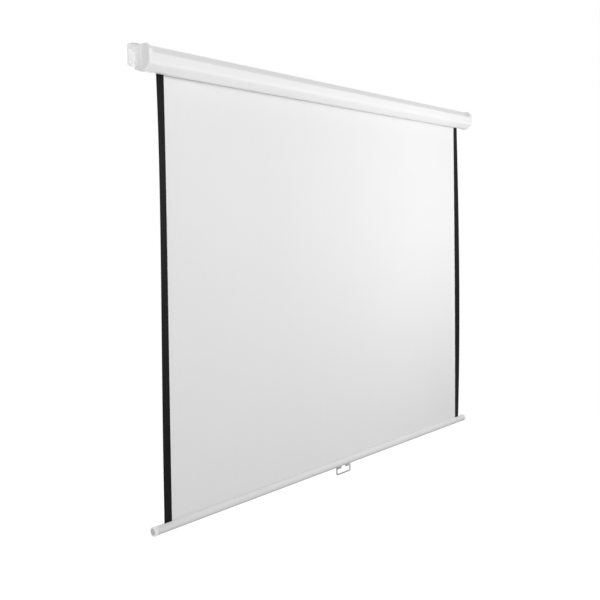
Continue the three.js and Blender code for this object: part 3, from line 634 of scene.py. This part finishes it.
def make_spring():
    """The coil spring inside the roller, one unbroken helix."""
    low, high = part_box("roller_spring")
    start = low.x + SPRING_WIRE_RADIUS
    end = high.x - SPRING_WIRE_RADIUS
    y, z = (low.y + high.y) / 2, (low.z + high.z) / 2
    steps = SPRING_TURNS * SPRING_STEPS
    points = [
        (
            start + (end - start) * i / steps,
            y + SPRING_RADIUS * math.cos(math.tau * i / SPRING_STEPS),
            z + SPRING_RADIUS * math.sin(math.tau * i / SPRING_STEPS),
        )
        for i in range(steps + 1)
    ]
    coil = swept("roller_spring_coil", points, SPRING_WIRE_RADIUS, SPRING_SIDES, "steel", "case")
    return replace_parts(coil, "roller_spring")


# Hard pieces


def sharp_edges(shape):
    return [e for e in shape.edges if e.is_manifold and e.calc_face_angle() > SHARP_ANGLE]


def outer_rim(shape, distance):
    """The sharp edges round the face at this distance from the middle, along X."""
    near = {v for v in shape.verts if abs(abs(v.co.x) - distance) < WELD}
    return [e for e in sharp_edges(shape) if near.issuperset(e.verts)]


def rounded(shape, edges, width):
    """Breaks hard edges with a small round."""
    bmesh.ops.bevel(
        shape,
        geom=edges,
        offset=width,
        offset_type="OFFSET",
        segments=EDGE_SEGMENTS,
        profile=0.5,
        affect="EDGES",
        clamp_overlap=False,
    )


def dished(shape, distance):
    """A shallow dish with the second look, in the end face at this distance from the middle."""
    faces = [
        face
        for face in shape.faces
        if abs(face.normal.x) > UPRIGHT
        and abs(abs(face.calc_center_median().x) - distance) < WELD
    ]
    bmesh.ops.inset_region(shape, faces=faces, thickness=KNOB_RIM)
    bmesh.ops.inset_region(shape, faces=faces, thickness=KNOB_DISH, depth=-KNOB_DISH)
    for face in faces:
        face.material_index = 1


def refined(node, width=0.0, choose=sharp_edges, looks=None, carve=None):
    """A piece of a CAD node's shape, with whole faces and smooth rounds, in place of the node.

    The edges that choose picks get a round of this width, and then carve may work the shape.
    The piece has the look of its node's slot, unless looks names others.
    """
    slot = SLOT_OF[node]
    shape = bmesh.new()
    shape.from_mesh(NODES[node].data)
    bmesh.ops.remove_doubles(shape, verts=shape.verts, dist=WELD)
    bmesh.ops.dissolve_limit(shape, angle_limit=FLAT_ANGLE, verts=shape.verts, edges=shape.edges)
    if width:
        rounded(shape, choose(shape), width)
    if carve:
        carve(shape)
    mesh = bpy.data.meshes.new(node)
    shape.to_mesh(mesh)
    shape.free()
    made = piece(f"{node}_skin", mesh, looks or [slot], BODY_OF[node])
    weighted = made.modifiers.new("flat faces stay flat", "WEIGHTED_NORMAL")
    weighted.keep_sharp = True
    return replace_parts(made, node)


def dress_hard_pieces():
    """The pieces that show from outside, as finer meshes of their CAD shapes."""
    cap_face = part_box("end_cap_right")[1].x
    knob_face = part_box("bar_knob_right")[1].x
    refined("case_profile")
    refined("weight_bar", looks=["bar_paint"])
    for side in ("left", "right"):
        refined(f"end_cap_{side}", CAP_EDGE, choose=lambda shape: outer_rim(shape, cap_face))
        refined(f"bracket_{side}", SHEET_METAL_EDGE)
        refined(
            f"bar_knob_{side}",
            SCREW_EDGE,
            choose=lambda shape: outer_rim(shape, knob_face),
            looks=["cap_plastic", "lug_plastic"],
            carve=lambda shape: dished(shape, knob_face),
        )
        refined(f"handle_lug_{side}", MOULDED_EDGE)
        refined(f"lug_screw_{side}", SCREW_EDGE)
        for place in ("upper", "lower"):
            refined(f"bracket_screw_{side}_{place}", SCREW_EDGE)


def dress_kept_nodes():
    """The inner pieces keep their CAD shape and get the looks above."""
    for name, node in NODES.items():
        node.data.materials.clear()
        node.data.materials.append(LOOKS[SLOT_OF[name]])


# Room, light and camera


def seen_directly(nodes, links):
    """1 for the camera's rays and for what it sees in gloss or through glass, and 0 for light."""
    path = nodes.new("ShaderNodeLightPath")
    total = path.outputs["Is Camera Ray"]
    for name in ("Is Glossy Ray", "Is Transmission Ray"):
        largest = nodes.new("ShaderNodeMath")
        largest.operation = "MAXIMUM"
        links.new(total, largest.inputs[0])
        links.new(path.outputs[name], largest.inputs[1])
        total = largest.outputs[0]
    return total


def make_floor():
    """A pale floor that is white to the camera, less the object's shadow."""
    mesh = bpy.data.meshes.new("floor")
    half = FLOOR_SIZE / 2
    corners = [(-half, -half), (half, -half), (half, half), (-half, half)]
    mesh.from_pydata([(x, y, FLOOR_HEIGHT) for x, y in corners], [], [(0, 1, 2, 3)])
    floor = bpy.data.objects.new("floor", mesh)
    bpy.context.scene.collection.objects.link(floor)
    material = bpy.data.materials.new("floor")
    material.use_nodes = True
    nodes, links = material.node_tree.nodes, material.node_tree.links
    shader = nodes["Principled BSDF"]
    shader.inputs["Base Color"].default_value = (*grey(FLOOR_PALENESS), 1)
    shader.inputs["Roughness"].default_value = FLOOR_ROUGHNESS
    shader.inputs["Specular IOR Level"].default_value = 0
    shader.inputs["Emission Color"].default_value = (1, 1, 1, 1)
    glow = nodes.new("ShaderNodeMath")
    glow.operation = "MULTIPLY"
    glow.inputs[1].default_value = FLOOR_GLOW
    links.new(seen_directly(nodes, links), glow.inputs[0])
    links.new(glow.outputs[0], shader.inputs["Emission Strength"])
    mesh.materials.append(material)


def make_world():
    """A white world to look at, which lights the object more softly."""
    world = bpy.data.worlds.new("world")
    world.use_nodes = True
    nodes, links = world.node_tree.nodes, world.node_tree.links
    background = nodes["Background"]
    background.inputs["Color"].default_value = (1, 1, 1, 1)
    strength = nodes.new("ShaderNodeMath")
    strength.operation = "MULTIPLY_ADD"
    strength.inputs[1].default_value = 1 - AMBIENT
    strength.inputs[2].default_value = AMBIENT
    links.new(seen_directly(nodes, links), strength.inputs[0])
    links.new(strength.outputs[0], background.inputs["Strength"])
    bpy.context.scene.world = world


def make_lamps():
    for name, row in LAMPS.items():
        lamp = bpy.data.lights.new(name, "AREA")
        lamp.size = row["width"]
        lamp.energy = row["power"]
        made = bpy.data.objects.new(name, lamp)
        made.location = row["place"]
        made.visible_camera = False
        made.rotation_mode = "QUATERNION"
        made.rotation_quaternion = (LAMP_AIM - Vector(row["place"])).to_track_quat("-Z", "Y")
        bpy.context.scene.collection.objects.link(made)


def make_camera():
    flat = math.cos(CAMERA_PITCH)
    ahead = Vector((math.sin(CAMERA_YAW) * flat, math.cos(CAMERA_YAW) * flat, math.sin(CAMERA_PITCH)))
    level = Vector((math.cos(CAMERA_YAW), -math.sin(CAMERA_YAW), 0))
    upright = level.cross(ahead)
    right = level * math.cos(CAMERA_ROLL) + upright * math.sin(CAMERA_ROLL)
    up = upright * math.cos(CAMERA_ROLL) - level * math.sin(CAMERA_ROLL)
    data = bpy.data.cameras.new("camera")
    data.sensor_width = CAMERA_SENSOR
    data.lens = CAMERA_LENS
    data.shift_y = CAMERA_SHIFT
    data.clip_start = CAMERA_NEAR
    data.clip_end = CAMERA_FAR
    camera = bpy.data.objects.new("camera", data)
    turn = Matrix((right, up, -ahead)).transposed()
    camera.matrix_world = Matrix.Translation(CAMERA_PLACE) @ turn.to_4x4()
    bpy.context.scene.collection.objects.link(camera)
    bpy.context.scene.camera = camera


make_camera()
dress_kept_nodes()
sheet = make_sheet()
borders = make_borders()
rolled = make_rolled_layers()
make_handle()
make_spring()
dress_hard_pieces()
make_floor()
make_world()
make_lamps()
bpy.context.scene.view_settings.view_transform = "Standard"
